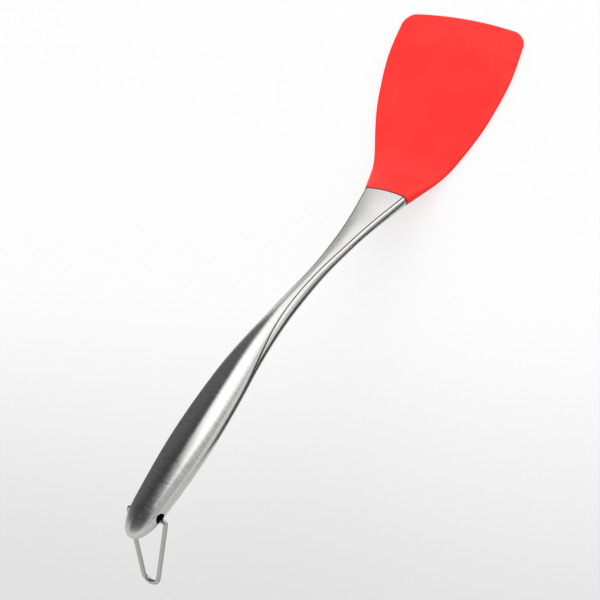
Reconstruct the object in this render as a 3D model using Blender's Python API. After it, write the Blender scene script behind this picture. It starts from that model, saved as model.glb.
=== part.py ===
"""Kitchen turner: a silicone head on a hollow pressed-steel handle with a wire hanging loop.

Frame, in metres: x = 0 is the mirror plane, +Y runs from the handle to the tip of the head, +Z is up.
The flat underside of the head lies on z = 0 and its middle is the origin. The handle rises behind it.

The centre line runs through the middle of the thickness. A place on it is the distance q back from the
tip of the head, and a place on the handle is the distance d back from the steel mouth. Sections are drawn
square to it: x across, n along its upward normal.
"""

import math

import bmesh
import bpy
from mathutils import Vector

# Clearance between pieces that touch or are cut by each other
GAP = 0.0003

# Centre line, from the tip of the head back to the end of the handle
HEAD_LENGTH = 0.1110
HEAD_FLAT_LENGTH = 0.0786
HEAD_BEND_LENGTH = 0.0171
HEAD_BEND_ANGLE = math.radians(34.9)
HANDLE_LENGTH = 0.2290
HANDLE_BEND_START = 0.0948
HANDLE_BEND_LENGTH = 0.0484
HANDLE_BEND_ANGLE = math.radians(13.8)

# Outline of the silicone head: full widths and their distances back from the tip
HEAD_FRONT_WIDTH = 0.0710
HEAD_WIDEST_WIDTH = 0.0727
HEAD_WIDEST_AT = 0.0248
HEAD_SHOULDER_WIDTH = 0.0661
HEAD_SHOULDER_AT = 0.0505
HEAD_FLANK_WIDTH = 0.0295
HEAD_FLANK_AT = 0.1034
HEAD_CORNER_RADIUS = 0.0072
HEAD_FRONT_ARC = 0.0030

# Thickness of the silicone head
HEAD_THICKNESS = 0.0028
HEAD_FRONT_THICKNESS = 0.0018
HEAD_FRONT_TAPER = 0.0160
HEAD_ROOT_SWELL = 0.0260

# Steel handle: full width, full thickness and distance back from the mouth of each chosen section
MOUTH_WIDTH = 0.0246
MOUTH_THICKNESS = 0.0062
FLARE_WIDTH = 0.0118
FLARE_THICKNESS = 0.0052
FLARE_AT = 0.0415
NECK_WIDTH = 0.0086
NECK_THICKNESS = 0.0064
NECK_AT = 0.0688
GRIP_WIDTH = 0.0206
GRIP_THICKNESS = 0.0149
GRIP_AT = 0.1764
TAIL_WIDTH = 0.0140
TAIL_THICKNESS = 0.0121
DOME_LENGTH = 0.0158
DOME_FULLNESS = 2.25
WALL = 0.0008

# Handle section: side bulge as a share of the half thickness, and the crown of the top and bottom faces
SIDE_ROUNDNESS = 0.71
FACE_CROWN = 0.05
CREASE_END = 0.0760
OVAL_START = 0.1500

# Curved edge of the steel mouth: how far its sides lie behind its middle, and where that dies out
MOUTH_ARC = 0.0015
MOUTH_ARC_FADE = 0.0220

# Steel core plate inside the silicone, and its tang
CORE_THICKNESS = 0.0009
CORE_SETBACK = 0.0120
CORE_MARGIN = 0.0080
CORE_CORNER_RADIUS = 0.0060
TANG_WIDTH = 0.0090
TANG_LENGTH = 0.0220
KEY_HOLE_DIAMETER = 0.0070
KEY_HOLE_PITCH = 0.0180
KEY_ROW_FIRST_AT = 0.0300
KEY_ROW_PITCH = 0.0200
KEY_ROWS = 3

# Nylon plug that fills the mouth around the tang
PLUG_LENGTH = 0.0260
PLUG_RECESS = 0.0022

# Wire hanging loop and the pair of holes that it hangs in
HOLE_DIAMETER = 0.0044
HOLE_TO_END = 0.0127
WIRE_DIAMETER = 0.0022
LOOP_SIDE_CLEARANCE = 0.0009
LOOP_LENGTH = 0.0378
LOOP_CORNER_RADIUS = 0.0015
LOOP_APEX_RADIUS = 0.0046
LOOP_END_INSIDE = 0.0020
LOOP_HANG_ANGLE = math.radians(64.9)

# Facets, and the angle from which an edge between them is sharp
TOP_STEPS = 8
SIDE_STEPS = 6
BOTTOM_STEPS = 6
HANDLE_ROWS = 26
DOME_ROWS = 5
HEAD_CORNER_ROWS = 5
HEAD_ROWS = 18
HEAD_EDGE_STEPS = 3
HEAD_FACE_STEPS = 6
CORE_ROWS = 12
PLUG_ROWS = 5
HOLE_SIDES = 24
WIRE_SIDES = 12
LOOP_BEND_STEPS = 6
SHARP_EDGE_ANGLE = math.radians(25.0)

# Finishes: colour, roughness and metallic value
SILICONE_RED = ((0.95, 0.045, 0.045), 0.45, 0.0)
BRUSHED_STEEL = ((0.62, 0.61, 0.60), 0.28, 1.0)
CORE_STEEL = ((0.50, 0.50, 0.50), 0.40, 1.0)
NYLON_BLACK = ((0.03, 0.03, 0.03), 0.55, 0.0)
WIRE_STEEL = ((0.60, 0.59, 0.57), 0.35, 1.0)


def ease(share):
    """Smooth step from 0 to 1."""
    share = min(1.0, max(0.0, share))
    return share * share * (3.0 - 2.0 * share)


def smooth_through(knots, at):
    """Value at a distance on the smooth curve through (distance, value) knots, without overshoot."""
    at = min(max(at, knots[0][0]), knots[-1][0])
    slopes = [(b[1] - a[1]) / (b[0] - a[0]) for a, b in zip(knots, knots[1:])]
    bends = [slopes[0]]
    for before, after in zip(slopes, slopes[1:]):
        same_way = before * after > 0.0
        bends.append(2.0 * before * after / (before + after) if same_way else 0.0)
    bends.append(slopes[-1])
    for index, (a, b) in enumerate(zip(knots, knots[1:])):
        if at <= b[0]:
            break
    span = b[0] - a[0]
    t = (at - a[0]) / span
    rise = (2.0 * t - 3.0) * t * t
    return (
        a[1] * (1.0 + rise)
        - b[1] * rise
        + bends[index] * span * t * (1.0 - t) ** 2
        - bends[index + 1] * span * t * t * (1.0 - t)
    )


def centre_line(q):
    """Height, depth and pitch of the centre line at distance q back from the tip."""
    runs = (
        (HEAD_FLAT_LENGTH, 0.0),
        (HEAD_BEND_LENGTH, HEAD_BEND_ANGLE),
        (HEAD_LENGTH + HANDLE_BEND_START - HEAD_FLAT_LENGTH - HEAD_BEND_LENGTH, 0.0),
        (HANDLE_BEND_LENGTH, -HANDLE_BEND_ANGLE),
        (math.inf, 0.0),
    )
    y, z, pitch = HEAD_FLAT_LENGTH / 2.0, HEAD_THICKNESS / 2.0, 0.0
    for length, turn in runs:
        step = min(q, length)
        if turn:
            radius = length / turn
            turned = pitch + turn * step / length
            y -= radius * (math.sin(turned) - math.sin(pitch))
            z += radius * (math.cos(pitch) - math.cos(turned))
            pitch = turned
        else:
            y -= step * math.cos(pitch)
            z += step * math.sin(pitch)
        q -= step
        if q <= 0.0:
            break
    return y, z, pitch


def place(x, q, n):
    """World point at x across, q back from the tip and n above the centre line."""
    y, z, pitch = centre_line(q)
    return Vector((x, y + n * math.sin(pitch), z + n * math.cos(pitch)))


def mouth_setback(x, d):
    """How far the curved mouth edge moves a point back, dying out away from the mouth."""
    fade = ease(1.0 - abs(d) / MOUTH_ARC_FADE)
    return MOUTH_ARC * (2.0 * x / MOUTH_WIDTH) ** 2 * fade


def handle_size(d):
    """Half width and half thickness of the handle at distance d back, before its end is rounded off."""
    widths = (
        (0.0, MOUTH_WIDTH),
        (FLARE_AT, FLARE_WIDTH),
        (NECK_AT, NECK_WIDTH),
        (GRIP_AT, GRIP_WIDTH),
        (HANDLE_LENGTH, TAIL_WIDTH),
    )
    thicknesses = (
        (0.0, MOUTH_THICKNESS),
        (FLARE_AT, FLARE_THICKNESS),
        (NECK_AT, NECK_THICKNESS),
        (GRIP_AT, GRIP_THICKNESS),
        (HANDLE_LENGTH, TAIL_THICKNESS),
    )
    return smooth_through(widths, d) / 2.0, smooth_through(thicknesses, d) / 2.0


def dome_share(d):
    """Share of the full section that is left at distance d, where the handle's end is rounded off."""
    over = max(0.0, (d - (HANDLE_LENGTH - DOME_LENGTH)) / DOME_LENGTH)
    return max(0.0, 1.0 - over**DOME_FULLNESS) ** (1.0 / DOME_FULLNESS)


def side_arc(half_width, edge_height, inset):
    """Centre, radius and reach of the arc that rounds a side from its upper to its lower edge."""
    radius = edge_height * (1.0 + SIDE_ROUNDNESS**2) / (2.0 * SIDE_ROUNDNESS)
    reach = math.asin((edge_height - inset) / (radius - inset))
    return half_width - radius, radius - inset, reach


def handle_section(d, inset, share=1.0):
    """Upper and lower arc of the handle's section, each from crease to crease, as (x, n) points."""
    half_width, half_height = handle_size(d)
    crown = half_height * FACE_CROWN
    centre, radius, reach = side_arc(half_width, half_height - crown, inset)
    crease = centre + radius * math.cos(reach)
    side = [reach * (1.0 - 2.0 * step / SIDE_STEPS) for step in range(SIDE_STEPS + 1)]

    def face(x):
        return half_height - inset - crown * (x / crease) ** 2

    top_faces = [crease * math.cos(math.pi * step / TOP_STEPS) for step in range(TOP_STEPS + 1)]
    top = [(x, face(x)) for x in top_faces]
    bottom = [(-centre - radius * math.cos(turn), radius * math.sin(turn)) for turn in side]
    for step in range(1, BOTTOM_STEPS):
        x = -crease * math.cos(math.pi * step / BOTTOM_STEPS)
        bottom.append((x, -face(x)))
    bottom += [(centre + radius * math.cos(turn), radius * math.sin(turn)) for turn in reversed(side)]

    oval = ease((d - CREASE_END) / (OVAL_START - CREASE_END))
    arcs = []
    for points, start in ((top, 0.0), (bottom, math.pi)):
        arc = []
        for index, (x, n) in enumerate(points):
            turn = start + math.pi * index / (len(points) - 1)
            oval_x = (half_width - inset) * math.cos(turn)
            oval_n = (half_height - inset) * math.sin(turn)
            arc.append((share * (x + oval * (oval_x - x)), share * (n + oval * (oval_n - n))))
        arcs.append(arc)
    return arcs


def on_handle(x, d, n):
    """World point on the handle, with the curved mouth edge allowed for."""
    return place(x, HEAD_LENGTH + d + mouth_setback(x, d), n)


def handle_rows(inset):
    """Rows of the handle as (d, share of the full section), from the mouth into the rounded end."""
    straight = HANDLE_LENGTH - DOME_LENGTH
    rows = [(straight * row / HANDLE_ROWS, 1.0) for row in range(HANDLE_ROWS + 1)]
    for row in range(1, DOME_ROWS):
        over = math.sin(math.pi / 2.0 * row / DOME_ROWS)
        share = dome_share(straight + DOME_LENGTH * over)
        rows.append((straight + (DOME_LENGTH - inset) * over, share))
    return rows


def widen_seam(outer, inner):
    """Move the two ends of an arc of wall along the arc, to leave half of the seam's gap at each."""
    for end, neighbour in ((0, 1), (-1, -2)):
        across = Vector(inner[end]) - Vector(outer[end])
        along = Vector((-across.y, across.x)).normalized() * GAP / 2.0
        if along.dot(Vector(outer[neighbour]) - Vector(outer[end])) < 0.0:
            along = -along
        outer[end] = tuple(Vector(outer[end]) + along)
        inner[end] = tuple(Vector(inner[end]) + along)


def make_material(name, finish):
    """Principled material from a finish."""
    colour, roughness, metallic = finish
    material = bpy.data.materials.new(name)
    material.use_nodes = True
    shader = material.node_tree.nodes["Principled BSDF"]
    shader.inputs["Base Color"].default_value = (*colour, 1.0)
    shader.inputs["Roughness"].default_value = roughness
    shader.inputs["Metallic"].default_value = metallic
    material.diffuse_color = (*colour, 1.0)
    return material


def make_object(name, bm, material=None):
    """Object from a finished bmesh. Without a material it is a cutter, which is only a guide."""
    bm.normal_update()
    bmesh.ops.recalc_face_normals(bm, faces=bm.faces)
    mesh = bpy.data.meshes.new(name)
    bm.to_mesh(mesh)
    bm.free()
    piece = bpy.data.objects.new(name, mesh)
    bpy.context.scene.collection.objects.link(piece)
    if material is None:
        piece.hide_render = True
        piece.display_type = "WIRE"
    else:
        mesh.materials.append(material)
        mesh.shade_smooth()
        mesh.set_sharp_from_angle(angle=SHARP_EDGE_ANGLE)
    return piece


def cut(piece, cutter):
    """Boolean difference that stays live on the piece."""
    modifier = piece.modifiers.new(cutter.name, "BOOLEAN")
    modifier.operation = "DIFFERENCE"
    modifier.solver = "EXACT"
    modifier.object = cutter


def skin_rows(bm, rows):
    """Quads between rows of vertices of equal count."""
    for row, after in zip(rows, rows[1:]):
        for index in range(len(row) - 1):
            bm.faces.new((row[index], row[index + 1], after[index + 1], after[index]))


def skin_rings(bm, rings):
    """Quads between closed rings of vertices of equal count."""
    skin_rows(bm, [[*ring, ring[0]] for ring in rings])


def cap_folded(bm, ring):
    """Cap a ring whose second half mirrors its first half, with strips from side to side."""
    half = len(ring) // 2
    upper = ring[: half + 1]
    lower = [ring[0], *reversed(ring[half:])]
    for index in range(half):
        corners = (upper[index], upper[index + 1], lower[index + 1], lower[index])
        bm.faces.new(tuple(dict.fromkeys(corners)))


def cylinder_across(x, q, n, diameter, length, axis):
    """bmesh of a cylinder on the centre line's frame, along x or along its normal."""
    bm = bmesh.new()
    bmesh.ops.create_cone(
        bm,
        cap_ends=True,
        segments=HOLE_SIDES,
        radius1=diameter / 2.0,
        radius2=diameter / 2.0,
        depth=length,
    )
    y, z, pitch = centre_line(q)
    if axis == "x":
        for vertex in bm.verts:
            across, along, up = vertex.co.z, vertex.co.x, vertex.co.y
            vertex.co = place(x + across, q - along, n + up)
    else:
        for vertex in bm.verts:
            vertex.co = place(x + vertex.co.x, q - vertex.co.y, n + vertex.co.z)
    return bm


def handle_shell(name, arc_index, material):
    """One pressed half of the handle, from crease to crease, closed at the rounded end."""
    bm = bmesh.new()
    upward = 1.0 - 2.0 * arc_index
    outer_rows = []
    inner_rows = []
    for (d_out, share), (d_in, _) in zip(handle_rows(0.0), handle_rows(WALL)):
        outer = handle_section(d_out, 0.0, share)[arc_index]
        inner = handle_section(d_in, WALL, share)[arc_index]
        widen_seam(outer, inner)
        outer_rows.append([bm.verts.new(on_handle(x, d_out, n)) for x, n in outer])
        inner_rows.append([bm.verts.new(on_handle(x, d_in, n)) for x, n in inner])
    outer_pole = bm.verts.new(on_handle(0.0, HANDLE_LENGTH, upward * GAP / 2.0))
    inner_pole = bm.verts.new(on_handle(0.0, HANDLE_LENGTH - WALL, upward * GAP / 2.0))

    skin_rows(bm, outer_rows)
    skin_rows(bm, inner_rows)
    skin_rows(bm, [outer_rows[0], inner_rows[0]])
    for end in (0, -1):
        skin_rows(bm, [[row[end] for row in outer_rows], [row[end] for row in inner_rows]])
        bm.faces.new((outer_rows[-1][end], inner_rows[-1][end], inner_pole, outer_pole))
    for rows, pole in ((outer_rows, outer_pole), (inner_rows, inner_pole)):
        for first, second in zip(rows[-1], rows[-1][1:]):
            bm.faces.new((first, second, pole))
    return make_object(name, bm, material)


def head_half_width(q):
    """Half width of the silicone head at distance q back from the tip, with its front corners rounded."""
    widths = (
        (0.0, HEAD_FRONT_WIDTH),
        (HEAD_WIDEST_AT, HEAD_WIDEST_WIDTH),
        (HEAD_SHOULDER_AT, HEAD_SHOULDER_WIDTH),
        (HEAD_FLANK_AT, HEAD_FLANK_WIDTH),
        (HEAD_LENGTH, MOUTH_WIDTH),
    )
    return smooth_through(widths, q) / 2.0 - corner_loss(q, HEAD_CORNER_RADIUS)


def corner_loss(q, radius):
    """How much a rounded corner takes off the half width at distance q behind the front."""
    left = max(0.0, 1.0 - q / radius)
    return radius * (1.0 - math.sqrt(1.0 - left * left))


def head_levels(q):
    """Lower and upper face of the head, measured from the centre line."""
    half = HEAD_THICKNESS / 2.0
    swell = ease((q - (HEAD_LENGTH - HEAD_ROOT_SWELL)) / HEAD_ROOT_SWELL)
    root = MOUTH_THICKNESS / 2.0
    thinned = (HEAD_THICKNESS - HEAD_FRONT_THICKNESS) * (1.0 - min(1.0, q / HEAD_FRONT_TAPER))
    return -half - (root - half) * swell, half - thinned + (root - half) * swell


def folded_section(half_width, low, high):
    """Ring of a flat section with rounded sides: over the top from right to left, then back below."""
    middle, half = (high + low) / 2.0, (high - low) / 2.0
    centre, radius, reach = side_arc(half_width, half, 0.0)
    crease = centre + radius * math.cos(reach)
    upper = []
    for step in range(HEAD_EDGE_STEPS):
        turn = reach * step / HEAD_EDGE_STEPS
        upper.append((centre + radius * math.cos(turn), radius * math.sin(turn)))
    for step in range(HEAD_FACE_STEPS + 1):
        upper.append((crease * (1.0 - 2.0 * step / HEAD_FACE_STEPS), half))
    for step in range(1, HEAD_EDGE_STEPS + 1):
        turn = reach * (1.0 - step / HEAD_EDGE_STEPS)
        upper.append((-centre - radius * math.cos(turn), radius * math.sin(turn)))
    lower = [(x, -n) for x, n in reversed(upper[1:-1])]
    return [(x, middle + n) for x, n in upper + lower]


def head_rows():
    """Distances back from the tip of the rows that the head is skinned over."""
    rows = []
    for row in range(HEAD_CORNER_ROWS + 1):
        rows.append(HEAD_CORNER_RADIUS * (1.0 - math.cos(math.pi / 2.0 * row / HEAD_CORNER_ROWS)))
    rest = HEAD_LENGTH - GAP - HEAD_CORNER_RADIUS
    rows += [HEAD_CORNER_RADIUS + rest * row / HEAD_ROWS for row in range(1, HEAD_ROWS + 1)]
    return rows


def on_head(x, q, n):
    """World point on the head, with its curved front edge and the curved mouth edge allowed for."""
    front = max(0.0, 1.0 - q / HEAD_WIDEST_AT)
    curve = HEAD_FRONT_ARC * (2.0 * x / HEAD_FRONT_WIDTH) ** 2 * front
    return place(x, q + curve + mouth_setback(x, q - HEAD_LENGTH), n)


def core_half_width(q, grow):
    """Half width of the core plate at distance q, from its wide front to its narrow tang."""
    if q >= HEAD_LENGTH:
        return TANG_WIDTH / 2.0 + grow
    front = CORE_SETBACK - grow
    corner = corner_loss(q - front, CORE_CORNER_RADIUS)
    wide = head_half_width(q) - CORE_MARGIN
    return max(wide, TANG_WIDTH / 2.0) + grow - corner


def core_rows(grow, back):
    """Distances back from the tip of the rows that the core plate is skinned over."""
    front = CORE_SETBACK - grow
    rows = []
    for row in range(HEAD_CORNER_ROWS + 1):
        rows.append(front + CORE_CORNER_RADIUS * (1.0 - math.cos(math.pi / 2.0 * row / HEAD_CORNER_ROWS)))
    start = rows[-1]
    rows += [start + (HEAD_LENGTH - start) * row / CORE_ROWS for row in range(1, CORE_ROWS + 1)]
    rows.append(back)
    return rows


def plate(grow, back):
    """bmesh of the core plate and tang, made larger all round by grow, ending at distance back."""
    bm = bmesh.new()
    half = CORE_THICKNESS / 2.0 + grow
    rings = []
    for q in core_rows(grow, back):
        width = core_half_width(q, grow)
        corners = ((width, half), (-width, half), (-width, -half), (width, -half))
        rings.append([bm.verts.new(place(x, q, n)) for x, n in corners])
    skin_rings(bm, rings)
    bm.faces.new(rings[0])
    bm.faces.new(rings[-1])
    return bm


def key_holes():
    """Places of the holes that the silicone grips through, fewer in each row towards the tang."""
    places = []
    for row in range(KEY_ROWS):
        count = KEY_ROWS - row
        for index in range(count):
            x = (index - (count - 1) / 2.0) * KEY_HOLE_PITCH
            places.append((x, KEY_ROW_FIRST_AT + row * KEY_ROW_PITCH))
    return places


def cut_key_holes(piece, diameter):
    """Cut the row of key holes through a plate."""
    for number, (x, q) in enumerate(key_holes(), start=1):
        bm = cylinder_across(x, q, 0.0, diameter, 4.0 * CORE_THICKNESS, "n")
        cut(piece, make_object(f"{piece.name}_key_cutter_{number}", bm))


def make_core_plate(material):
    """Thin steel plate in the silicone, with a tang that runs into the mouth of the handle."""
    core = make_object("core_plate", plate(0.0, HEAD_LENGTH + TANG_LENGTH), material)
    cut_key_holes(core, KEY_HOLE_DIAMETER)
    return core


def make_silicone_head(material):
    """Silicone moulded round the core plate, open at the root where the tang comes out."""
    bm = bmesh.new()
    rings = []
    for q in head_rows():
        section = folded_section(head_half_width(q), *head_levels(q))
        rings.append([bm.verts.new(on_head(x, q, n)) for x, n in section])
    skin_rings(bm, rings)
    cap_folded(bm, rings[0])
    cap_folded(bm, rings[-1])
    head = make_object("silicone_head", bm, material)
    pocket = make_object("silicone_head_pocket", plate(GAP, HEAD_LENGTH + MOUTH_ARC + GAP))
    cut_key_holes(pocket, KEY_HOLE_DIAMETER - 2.0 * GAP)
    cut(head, pocket)
    return head


def make_tang_plug(material):
    """Nylon plug that fills the mouth of the handle, with a slot for the tang."""
    bm = bmesh.new()
    rings = []
    for row in range(PLUG_ROWS + 1):
        d = PLUG_RECESS + (PLUG_LENGTH - PLUG_RECESS) * row / PLUG_ROWS
        top, bottom = handle_section(d, WALL + GAP)
        section = top[:-1] + bottom[:-1]
        rings.append([bm.verts.new(place(x, HEAD_LENGTH + d, n)) for x, n in section])
    skin_rings(bm, rings)
    bm.faces.new(rings[0])
    bm.faces.new(rings[-1])
    plug = make_object("tang_plug", bm, material)

    slot = bmesh.new()
    half_width, half_height = TANG_WIDTH / 2.0 + GAP, CORE_THICKNESS / 2.0 + GAP
    corners = ((1, 1), (-1, 1), (-1, -1), (1, -1))
    ends = []
    for d in (0.0, PLUG_LENGTH + MOUTH_ARC):
        at = HEAD_LENGTH + d
        ends.append([slot.verts.new(place(a * half_width, at, b * half_height)) for a, b in corners])
    skin_rings(slot, ends)
    slot.faces.new(ends[0])
    slot.faces.new(ends[1])
    cut(plug, make_object("tang_plug_slot", slot))
    return plug


def hole_distance():
    """Distance back from the mouth of the loop's pair of holes."""
    return HANDLE_LENGTH - HOLE_TO_END


def hole_half_width():
    """Half width of the handle where the holes are."""
    d = hole_distance()
    return handle_size(d)[0] * dome_share(d)


def loop_path():
    """Centre line of the wire as (x, r) points, r being the distance from the hinge axis."""
    corner_x = hole_half_width() + LOOP_SIDE_CLEARANCE + WIRE_DIAMETER / 2.0
    apex_r = LOOP_LENGTH - LOOP_APEX_RADIUS
    lean = math.atan2(corner_x, apex_r) - math.asin(LOOP_APEX_RADIUS / math.hypot(corner_x, apex_r))
    turn = math.pi / 2.0 + lean
    setback = LOOP_CORNER_RADIUS * math.tan(turn / 2.0)
    right = [(hole_half_width() - WALL - LOOP_END_INSIDE, 0.0)]
    for step in range(LOOP_BEND_STEPS + 1):
        at = turn * step / LOOP_BEND_STEPS
        x = corner_x - setback + LOOP_CORNER_RADIUS * math.sin(at)
        right.append((x, LOOP_CORNER_RADIUS * (1.0 - math.cos(at))))
    for step in range(LOOP_BEND_STEPS + 1):
        at = lean + (math.pi / 2.0 - lean) * step / LOOP_BEND_STEPS
        right.append((LOOP_APEX_RADIUS * math.cos(at), apex_r + LOOP_APEX_RADIUS * math.sin(at)))
    return right + [(-x, r) for x, r in reversed(right[:-1])]


def make_hanging_loop(material):
    """Bent wire loop, hinged on its two inward-bent ends in the holes of the handle."""
    path = [Vector((x, r, 0.0)) for x, r in loop_path()]
    bm = bmesh.new()
    rings = []
    for index, point in enumerate(path):
        before = path[max(index - 1, 0)]
        after = path[min(index + 1, len(path) - 1)]
        first = (point - before).normalized()
        second = (after - point).normalized()
        heading = (first + second).normalized()
        spread = 1.0 / heading.dot(second if index == 0 else first)
        sideways = Vector((heading.y, -heading.x, 0.0))
        ring = []
        for side in range(WIRE_SIDES):
            turn = 2.0 * math.pi * side / WIRE_SIDES
            offset = sideways * spread * math.cos(turn) + Vector((0.0, 0.0, math.sin(turn)))
            ring.append(bm.verts.new(point + offset * WIRE_DIAMETER / 2.0))
        rings.append(ring)
    skin_rings(bm, rings)
    bm.faces.new(rings[0])
    bm.faces.new(rings[-1])
    loop = make_object("hanging_loop", bm, material)

    q = HEAD_LENGTH + hole_distance()
    pitch = centre_line(q)[2]
    heading = math.pi - pitch + LOOP_HANG_ANGLE
    rest_offset = (HOLE_DIAMETER - WIRE_DIAMETER) / 2.0 - GAP
    hang = Vector((0.0, math.cos(heading), math.sin(heading)))
    loop.location = place(0.0, q, 0.0) + hang * rest_offset
    loop.rotation_euler.x = heading
    return loop


def build():
    """Make every piece of the turner."""
    for old in list(bpy.data.objects):
        bpy.data.objects.remove(old, do_unlink=True)

    steel = make_material("brushed_steel", BRUSHED_STEEL)
    make_silicone_head(make_material("silicone_red", SILICONE_RED))
    make_core_plate(make_material("core_steel", CORE_STEEL))
    make_tang_plug(make_material("nylon_black", NYLON_BLACK))
    upper = handle_shell("handle_upper_shell", 0, steel)
    lower = handle_shell("handle_lower_shell", 1, steel)
    make_hanging_loop(make_material("wire_steel", WIRE_STEEL))

    through = 2.0 * (GRIP_WIDTH + WALL)
    at = HEAD_LENGTH + hole_distance()
    holes = make_object("loop_hole_cutter", cylinder_across(0.0, at, 0.0, HOLE_DIAMETER, through, "x"))
    for shell in (upper, lower):
        cut(shell, holes)


build()
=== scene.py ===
"""Looks of the kitchen turner: silicone head, brushed hollow steel handle and wire hanging loop.

Everything is in metres, in the part's own frame. A place on the centre line is the distance q back from
the tip of the head, a place on the handle is the distance d back from its mouth, and a section is drawn
square to the line as (x, n), n being the height along its upward normal.
"""

import math

import bmesh
import bpy
from mathutils import Euler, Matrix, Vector


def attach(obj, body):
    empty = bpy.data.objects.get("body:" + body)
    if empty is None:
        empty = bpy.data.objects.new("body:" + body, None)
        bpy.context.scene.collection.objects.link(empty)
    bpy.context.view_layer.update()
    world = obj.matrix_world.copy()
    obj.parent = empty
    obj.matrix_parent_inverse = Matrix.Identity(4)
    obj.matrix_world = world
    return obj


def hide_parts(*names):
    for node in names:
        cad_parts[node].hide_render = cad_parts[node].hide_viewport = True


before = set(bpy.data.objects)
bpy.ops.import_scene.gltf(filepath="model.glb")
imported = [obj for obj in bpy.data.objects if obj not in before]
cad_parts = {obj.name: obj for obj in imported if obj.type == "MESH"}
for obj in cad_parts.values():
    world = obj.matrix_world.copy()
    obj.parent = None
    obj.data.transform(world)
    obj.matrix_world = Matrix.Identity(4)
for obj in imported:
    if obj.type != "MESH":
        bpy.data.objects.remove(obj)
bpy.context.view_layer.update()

# Centre line, from the tip of the head back to the end of the handle
HEAD_LENGTH = 0.1110
HEAD_FLAT_LENGTH = 0.0786
HEAD_BEND_LENGTH = 0.0171
HEAD_BEND_ANGLE = math.radians(34.9)
HANDLE_LENGTH = 0.2290
HANDLE_BEND_START = 0.0948
HANDLE_BEND_LENGTH = 0.0484
HANDLE_BEND_ANGLE = math.radians(13.8)

# Silicone head, its widths as knots of (distance back from the tip, full width)
HEAD_WIDTHS = ((0.0, 0.0710), (0.0248, 0.0727), (0.0505, 0.0661), (0.1034, 0.0295), (0.1110, 0.0246))
HEAD_CORNER_RADIUS = 0.0072
HEAD_FRONT_ARC = 0.0030
HEAD_THICKNESS = 0.0028
HEAD_FRONT_THICKNESS = 0.0018
HEAD_FRONT_TAPER = 0.0160
HEAD_ROOT_SWELL = 0.0260
HEAD_ROOT_ROUND = 0.00025
HEAD_ROOT_ROUND_FROM = HEAD_ROOT_ROUND * 1.5
HEAD_ROOT_CLOSING = (0.7, 0.3, 0.0)
HEAD_JOINT_GAP = 0.00004
# Length of the painted shade along the joint with the steel, where the even rows of the head stop
HEAD_JOINT_SHADE_LENGTH = 0.0014

# Painted shade round the sides of the blade and over its front rows
HEAD_SIDE_SHADE_DEPTH = 0.29
HEAD_SIDE_FULL = 1.2
HEAD_SIDE_REACH = 0.75
HEAD_FRONT_SHADED_ROWS = 4.0

# Steel handle, as knots of (distance back from the mouth, full width) and (distance, full thickness)
HANDLE_WIDTHS = ((0.0, 0.0246), (0.0415, 0.0118), (0.0688, 0.0086), (0.1764, 0.0206), (0.2290, 0.0140))
HANDLE_THICKNESSES = (
    (0.0, 0.0062), (0.0415, 0.0052), (0.0688, 0.0064), (0.1764, 0.0149), (0.2290, 0.0118)
)
MOUTH_WIDTH = 0.0246
MOUTH_THICKNESS = 0.0062
DOME_LENGTH = 0.0158
DOME_FULLNESS = 2.25
WALL = 0.0008
SIDE_ROUNDNESS = 0.71
MOUTH_ROUNDNESS = 0.60
MOUTH_ROUNDNESS_FADE = 0.0300
FACE_CROWN = 0.05
CREASE_END = 0.0760
OVAL_START = 0.1500
MOUTH_ARC = 0.0015
MOUTH_ARC_FADE = 0.0220
RIM_ROUND = 0.0001
RIM_CORNER = RIM_ROUND * 0.3
RIM_SUPPORT = 0.00025

# Welded seam along both creases of the stem, and where the mesh follows it, as distances from the crease
SEAM_HALF_WIDTH = 0.00044
SEAM_CORE = 0.00030
SEAM_TOP_SHARE = 0.45
SEAM_DEPTH = 0.00038
SEAM_FADE_FROM = 0.0500
SEAM_FADE_TO = 0.1450
SEAM_STEPS = (0.00010, 0.00020, 0.00030, 0.00042, 0.00060)
SEAM_FINE_STEPS = (0.000006, 0.000025, 0.000055)

# Where the brushing grows stronger towards the grip, and where it fades at the end
GRIP_BRUSH = (0.0700, 0.1400)
END_BRUSH = (0.2100, HANDLE_LENGTH)
STEM_BRUSH_SHARE = 0.3
END_BRUSH_SHARE = 0.2

# Wire loop and its holes; the loop rests on their edge and leans a little to one side
HOLE_DIAMETER = 0.0048
PUNCH_LENGTH = 0.03
HOLE_TO_END = 0.0127
WIRE_DIAMETER = 0.00216
LOOP_SIDE_CLEARANCE = 0.0013
LOOP_LENGTH = 0.03775
LOOP_CORNER_RADIUS = 0.0015
LOOP_APEX_RADIUS = 0.0042
LOOP_END_INSIDE = 0.0020
LOOP_SAG = 0.0008
LOOP_SHIFT = 0.00045
LOOP_LEAN = math.radians(2.0)
LOOP_HANG_ANGLE = math.radians(64.9)
WIRE_END_CHAMFER = 0.0002

# How finely each piece is drawn, and from which angle in degrees an edge stays sharp
TOP_CORNERS = 22
SIDE_CORNERS = 12
BOTTOM_CORNERS = 14
STEM_ROWS = 200
DOME_ROWS = 22
HEAD_CORNER_ROWS = 18
HEAD_ROWS = 84
HEAD_EDGE_CORNERS = 7
HEAD_FACE_CORNERS = 26
HEAD_ROOT_ROWS = 4
WIRE_SIDES = 20
WIRE_BEND_ROWS = 14
WIRE_LEG_ROWS = 18
HOLE_SIDES = 64
METAL_SHARP_ANGLE = 40.0
HEAD_SHARP_ANGLE = 60.0
START_RADIUS = 0.01
WELD_DISTANCE = 0.000002
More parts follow.
